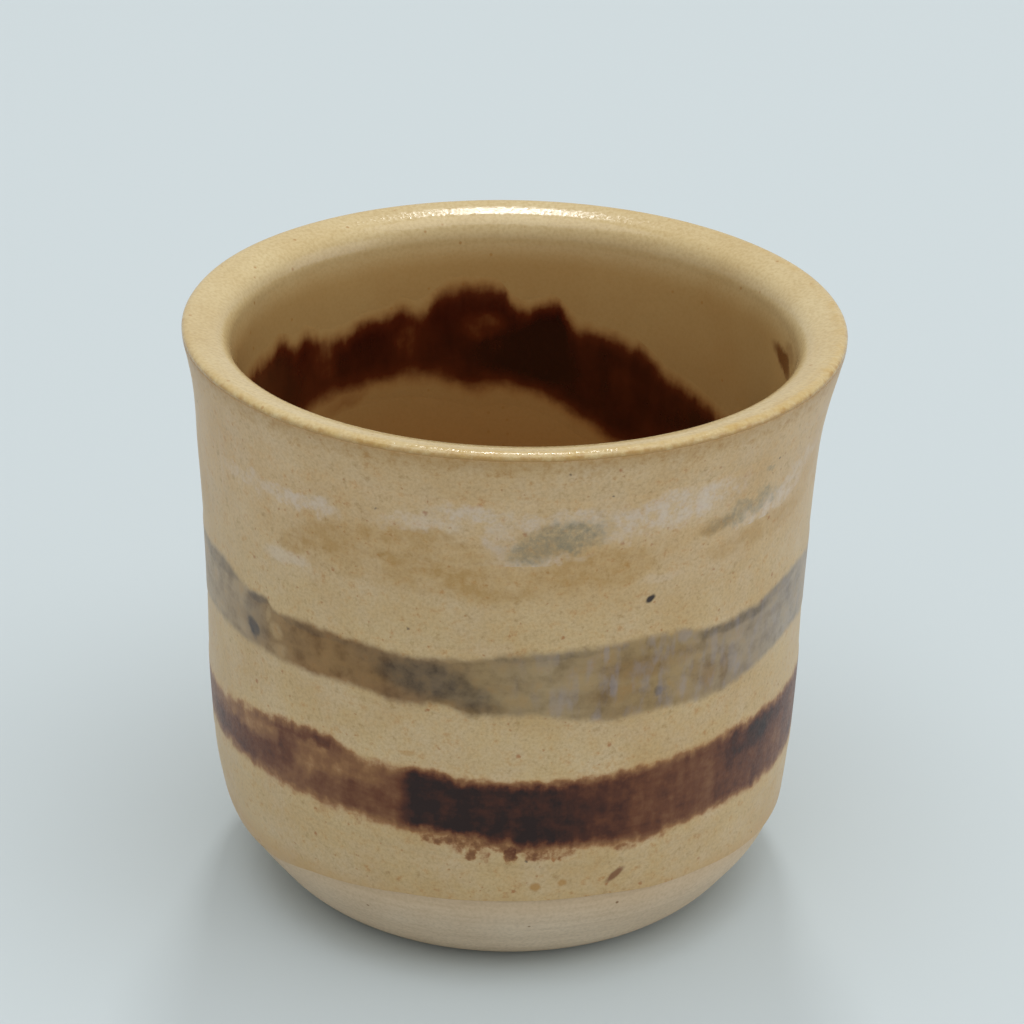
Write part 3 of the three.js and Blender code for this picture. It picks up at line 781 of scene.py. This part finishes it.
# Ochre wash under the glaze: a see-through yellow-brown stain, no thicker than the brush left it, with a dark
# iron spot and two faint pale smears along its lower edge.
ochre_glaze, tree, shader = fired("ochre_wash_under_glaze")
place, degrees, height = on_the_cup(tree)
tone, sand = tan_glaze(tree, place, height)
chart = rolled_out(tree, place, degrees, height, 0.6)
tone = ochre_wash(tree, place, chart, tone)
pale_smear = dabs(tree, chart, [(-42, 44.1, 2.8, 0.8, 6, 0.26), (28, 44.8, 2.2, 0.5, 0, 0.12)])
tone = blended(tree, pale_smear, tone, linear(pale_slip_colour))
chart = rolled_out(tree, place, degrees, height, 0.25)
iron_spot = dabs(tree, chart, [(26.4, 42.8, 0.5, 0.36, 40, 1.0)])
tone = blended(tree, iron_spot, tone, linear(iron_spot_colour))
satin(tree, shader, tone, sand, place)
ochre.data.materials.append(ochre_glaze)

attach(ochre, "root")
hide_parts("ochre_stroke")


# PALE SLIP STROKE
# A dry, broken stroke of pale lavender slip over the ochre wash, dragged thin along the front, with two grey
# patches where the brush had grey left in it.

pale_low = 46.6
pale_high = 55.0
pale = spun(
    "brushed_pale_stroke", lambda side, radius, height: side == "out" and pale_low < height < pale_high,
    first=-62, turn=138,
)
skin(pale, thickness=0.12, fade=1.2, seat=0.26)

# Pale slip under the glaze: a chalky lavender white that only half covers, and grainy grey where it is
# dirty.
pale_glaze, tree, shader = fired("pale_slip_under_glaze")
place, degrees, height = on_the_cup(tree)
tone, sand = tan_glaze(tree, place, height)
chart = rolled_out(tree, place, degrees, height, 0.6)
tone = ochre_wash(tree, place, chart, tone)
torn = rolled_out(tree, place, degrees, height, 1.5)
white = dabs(tree, torn, [
    (-38, 50.8, 4.4, 1.0, 3, 0.5), (-49, 50.6, 5.0, 0.9, 0, 0.35), (-15, 51.6, 4.5, 1.0, 5, 0.32),
    (-5, 52.9, 3.6, 0.9, 0, 0.45), (10, 52.3, 5.0, 1.0, 3, 0.42), (30, 52.1, 8.0, 1.7, 3, 0.54),
    (6, 48.0, 4.4, 0.6, 3, 0.38), (54, 48.8, 5.6, 1.4, 8, 0.5), (65, 51.0, 3.6, 0.9, 10, 0.4),
    (-1, 50.2, 1.4, 2.2, 0, 0.35), (20, 50.6, 3.0, 1.2, 0, 0.36),
])
patchy = add(tree, "TexNoise", Vector=place, Scale=1 / 1.4, Detail=6.0, Roughness=0.7)["Fac"]
broken = add(tree, "MapRange", smooth, Value=patchy, From_Min=0.34, From_Max=0.64, To_Min=0.12)[0]
white = add(tree, "Math", {"operation": "MULTIPLY"}, _0=white, _1=broken)[0]
tone = blended(tree, white, tone, linear(pale_slip_colour))
dirty = dabs(tree, torn, [
    (10, 50.3, 4.0, 1.7, 10, 0.85), (4, 49.1, 2.4, 1.2, 0, 0.75), (46, 49.4, 4.8, 1.2, 7, 0.7),
    (51, 52.8, 0.9, 0.3, -25, 0.5),
])
grainy = add(tree, "TexNoise", Vector=place, Scale=1 / 0.7, Detail=6.0, Roughness=0.75)["Fac"]
grainy = add(tree, "MapRange", Value=grainy, From_Min=0.36, From_Max=0.64, To_Min=0.25, To_Max=1.1)[0]
dirty = add(tree, "Math", {"operation": "MULTIPLY"}, _0=dirty, _1=grainy)[0]
tone = blended(tree, dirty, tone, linear("#8d836b"))
satin(tree, shader, tone, sand, place)
pale.data.materials.append(pale_glaze)

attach(pale, "root")
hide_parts("pale_slip_stroke")


# INNER IRON BAND
# The same iron slip swept round the inside with a loaded brush, higher on one side, its top torn into flames
# and its foot running into the honey-coloured glaze.

inner_top = [
    (-180, 43.0), (-140, 41.0), (-100, 40.5), (-70, 40.9), (-52, 42.2), (-47, 42.9), (-40, 43.4),
    (-35, 44.6), (-30, 45.8), (-22, 46.3), (-16, 46.9), (-12, 48.4), (-9, 49.1), (-5, 48.3),
    (-2.5, 48.0), (0, 49.0), (3, 50.5), (10, 50.8), (16, 50.7), (18.5, 49.2), (22, 48.4), (26, 49.4),
    (29, 48.3), (35, 48.3), (42, 47.5), (48, 47.9), (52, 49.2), (56, 48.5), (62, 49.7), (67, 49.1),
    (75, 49.5), (100, 48.5), (140, 46.0), (180, 43.0),
]
inner_bottom = [
    (-180, 36.5), (-140, 35.0), (-100, 34.5), (-70, 35.5), (-55, 37.5), (-45, 38.2), (-38, 36.6),
    (-30, 36.0), (-22, 37.4), (-15, 38.9), (-10, 40.2), (-5, 41.1), (0, 41.3), (4, 41.4), (8, 40.9),
    (12, 41.7), (20, 42.7), (28, 43.2), (34, 43.2), (42, 43.0), (50, 42.6), (70, 42.0), (100, 41.0),
    (140, 39.0), (180, 36.5),
]
inner_bleed_low = 0.7
inner_bleed_high = 0.8
inner_drip = 4.0
inner_fringe = 3.0
inner_iron = spun("brushed_inner_iron", lambda side, radius, height: side == "in" and 36 < height < 49)
bpy.ops.object.mode_set(mode="EDIT")
bpy.ops.mesh.select_all(action="SELECT")
bpy.ops.mesh.flip_normals()
bpy.ops.object.mode_set(mode="OBJECT")
slid(
    inner_iron, "in",
    [(d, h - inner_drip) for d, h in inner_bottom], [(d, h + inner_fringe) for d, h in inner_top],
)
skin(inner_iron, thickness=0.10, fade=1.8, seat=0.26)

# Iron slip under the glossy liner glaze: a dark red-brown, black where it lies thickest and orange where it
# thins.
inner_glaze, tree, shader = fired("inner_iron_under_glaze")
place, degrees, height = on_the_cup(tree, "in")
tone, sand = poured_glaze(tree, place, height)
flames = streaks(tree, place, 2.2, 7.0)
lick = add(tree, "Math", {"operation": "MULTIPLY_ADD"}, _0=flames, _1=-1.5, _2=0.75)[0]
licked = add(tree, "Math", {"operation": "ADD"}, _0=height, _1=lick)[0]
chart = rolled_out(tree, place, degrees, licked, 0.5, inner_arc)
foot = [(d, h - inner_bleed_low) for d, h in inner_bottom]
head = [(d, h + inner_bleed_high) for d, h in inner_top]
cover = between(tree, chart, inner_arc, foot, head, 2.4, 2.2)
fringe = dabs(tree, chart, [
    (41, 42.0, 4.4, 1.8, -14, 0.35), (52, 41.0, 4.0, 1.8, -10, 0.3), (8, 40.6, 1.4, 1.8, 0, 0.28),
    (-7, 40.2, 2.6, 1.3, 0, 0.18), (0, 49.0, 2.0, 2.0, 0, 0.22), (18, 49.2, 1.8, 2.0, 0, 0.28),
    (26, 49.0, 1.6, 1.6, 0, 0.25), (62, 49.6, 2.4, 1.4, 0, 0.25),
], inner_arc)
cover = add(tree, "Math", {"operation": "MAXIMUM"}, _0=cover, _1=fringe)[0]
patchy = add(tree, "TexNoise", Vector=place, Scale=1 / 3.0, Detail=4.0)["Fac"]
load = traced(tree, degrees, [
    (-180, 0.6), (-140, 0.7), (-80, 0.75), (-52, 0.88), (-40, 0.8), (-20, 0.82), (-10, 0.93), (0, 0.84),
    (8, 0.78), (15, 0.76), (22, 0.72), (26, 0.72), (31, 0.84), (37, 0.84), (44, 0.72), (48, 0.68),
    (54, 0.74), (60, 0.8), (66, 0.74), (90, 0.7), (150, 0.6), (180, 0.6),
])
dense = dabs(tree, chart, [(-2, 44.2, 6.0, 2.6, 10, 0.15), (-9, 47.4, 2.0, 2.0, 0, 0.15)], inner_arc)
gaps = dabs(tree, chart, [
    (6, 47.4, 2.2, 1.5, 0, 0.22), (24.5, 46.4, 1.2, 2.0, 0, 0.12), (47, 46.2, 1.6, 1.8, 0, 0.12),
], inner_arc)
load = add(tree, "Math", {"operation": "ADD"}, _0=load, _1=dense)[0]
load = add(tree, "Math", {"operation": "SUBTRACT"}, _0=load, _1=gaps)[0]
for pattern, strength in ((patchy, 0.35), (flames, 0.35)):
    change = add(tree, "Math", {"operation": "MULTIPLY_ADD"}, _0=pattern, _1=strength, _2=-0.5 * strength)[0]
    load = add(tree, "Math", {"operation": "ADD"}, _0=load, _1=change)[0]
load = add(tree, "Math", {"operation": "MULTIPLY", "use_clamp": True}, _0=load, _1=cover)[0]
slip = add(tree, "ValToRGB", {"stops": [
    (0.0, "#a67838"), (0.2, "#935820"), (0.4, "#713a17"), (0.6, "#53210f"), (0.82, "#3c140a"),
    (1.0, "#280e09"),
]}, Fac=load)[0]
seen = add(tree, "MapRange", smooth, Value=load, From_Min=0.0, From_Max=0.62)[0]
tone = blended(tree, seen, tone, slip)
glossy(tree, shader, tone, sand, place)
inner_iron.data.materials.append(inner_glaze)

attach(inner_iron, "root")
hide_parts("inner_iron_band")


# FLOOR
# A plain pale matte table top, painted and unmarked, wide enough to fill the picture. It stays behind when
# the cup is used elsewhere.

bpy.ops.object.select_all(action="DESELECT")
bpy.ops.mesh.primitive_plane_add(size=4)
floor = bpy.context.object
floor.name = "pale_floor"
pale_top, tree, shader = fired("pale_matte_floor")
shader.inputs["Base Color"].default_value = linear("#cad5d9")
shader.inputs["Roughness"].default_value = 0.9
floor.data.materials.append(pale_top)


# LIGHT
# A large soft box over the cup, a smaller one behind it that draws the shine on the lip, a weak one low on
# the right, and even light all round.

for name, place, width, depth, power in (
    ("soft_box", (0.1, -0.35, 2.0), 2.2, 1.8, 20.0),
    ("lip_light", (0.02, 1.0, 1.72), 0.24, 0.34, 6.5),
    ("side_fill", (1.6, -0.2, 0.6), 1.2, 0.9, 3.5),
):
    bpy.ops.object.light_add(type="AREA", location=place)
    lamp = bpy.context.object
    lamp.name = name
    lamp.data.shape = "RECTANGLE"
    lamp.data.size = width
    lamp.data.size_y = depth
    lamp.data.energy = power
    lamp.rotation_euler = lamp.location.to_track_quat("Z", "Y").to_euler()

room_light = 0.54
world = bpy.data.worlds.new("pale_room")
bpy.context.scene.world = world
world.use_nodes = True
world.node_tree.nodes["Background"].inputs["Color"].default_value = linear("#fbfaf8")
world.node_tree.nodes["Background"].inputs["Strength"].default_value = room_light


# CAMERA
# A long lens in front of the cup, looking down into it, held a touch off level. Lengths are in millimetres,
# and the lens is worked out for a square frame 1024 pixels across.

down = math.radians(25.811)
tilt = math.radians(1.192)
far = 341.57
aim_x, aim_z = 0.578, 38.16
sensor = 36
focal_pixels, frame_pixels = 3400, 1024
bpy.ops.object.camera_add()
camera = bpy.context.object
camera.name = "camera"
camera.data.sensor_width = sensor
camera.data.lens = focal_pixels / frame_pixels * sensor
camera.location = (aim_x * mm, -far * math.cos(down) * mm, (aim_z + far * math.sin(down)) * mm)
camera.rotation_mode = "ZYX"
camera.rotation_euler = (math.radians(90) - down, 0, tilt)
bpy.context.scene.camera = camera

bpy.data.objects.remove(section)
